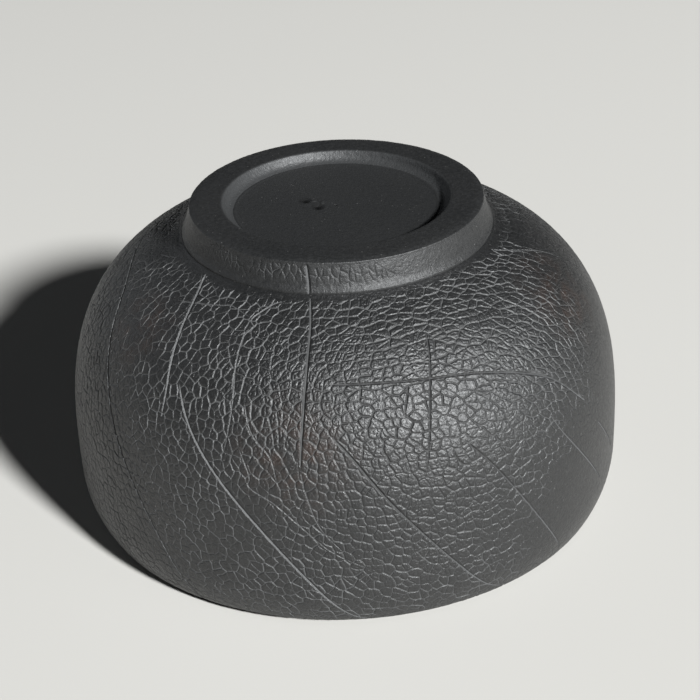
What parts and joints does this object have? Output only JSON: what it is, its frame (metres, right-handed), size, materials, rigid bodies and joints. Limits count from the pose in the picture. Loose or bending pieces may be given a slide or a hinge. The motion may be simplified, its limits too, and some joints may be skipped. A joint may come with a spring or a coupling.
{
  "type": "footed ceramic candle vessel",
  "caption": "Empty round ceramic candle vessel, bowl-shaped, stored mouth down, with a separate foot ring luted to its base and a leaf-vein texture pressed into the wall.",
  "frame": {"origin": "centre of the bowl's mouth, on the plane that the rim rests on", "axes": "+Z along the vessel's axis, from the mouth to the foot ring, so the vessel stands mouth down; X and Y are level"},
  "size_m": [0.1, 0.1, 0.0566],
  "materials": {
    "body_clay": "matt, unglazed, fine grained",
    "foot_clay": "matt, unglazed, turned smooth"
  },
  "bodies": {
    "root": {"bowl_body": "body_clay", "foot_ring": "foot_clay"}
  },
  "joints": []
}
